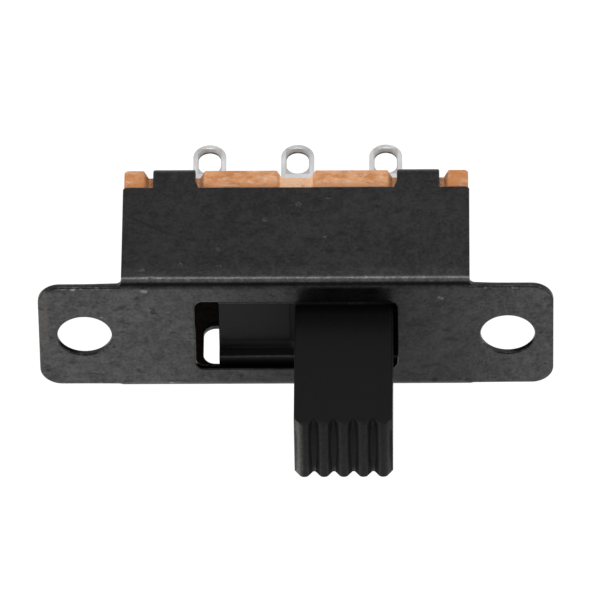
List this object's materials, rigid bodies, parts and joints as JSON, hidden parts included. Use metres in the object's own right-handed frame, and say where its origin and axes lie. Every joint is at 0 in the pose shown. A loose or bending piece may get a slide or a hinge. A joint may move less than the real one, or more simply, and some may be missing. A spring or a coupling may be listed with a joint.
{
  "type": "slide switch",
  "caption": "Panel slide switch with a folded steel frame, two screw ears, in-line solder lugs and a tall ridged knob that slides between two positions.",
  "frame": {"origin": "midway between the two screw holes, on the outer face of the mounting plate", "axes": "+Z out of the plate, the way the knob points; +X along the plate and the knob's travel, from the rest position to the other; +Y towards the side wall with the windows"},
  "size_m": [0.023, 0.0068, 0.0189],
  "materials": {
    "blackened_steel": "thin satin black coating on sheet steel",
    "laminate": "matt orange-brown paper laminate with fibrous punched edges",
    "tinned_terminal": "satin tinned sheet",
    "black_moulding": "satin moulded plastic",
    "spring_bronze": "bright rolled strip",
    "spring_steel": "bright rolled strip"
  },
  "bodies": {
    "housing": {"frame": "blackened_steel", "terminal_board": "laminate", "terminal_left": "tinned_terminal", "terminal_middle": "tinned_terminal", "terminal_right": "tinned_terminal"},
    "slide": {"slider": "black_moulding", "contact_clip": "spring_bronze", "detent_spring": "spring_steel"}
  },
  "joints": [
    {"name": "slider_travel", "type": "slide", "parent": "housing", "child": "slide", "axis": [1, 0, 0], "range_m": [0, 0.00431], "deforming": ["detent_spring"]}
  ]
}
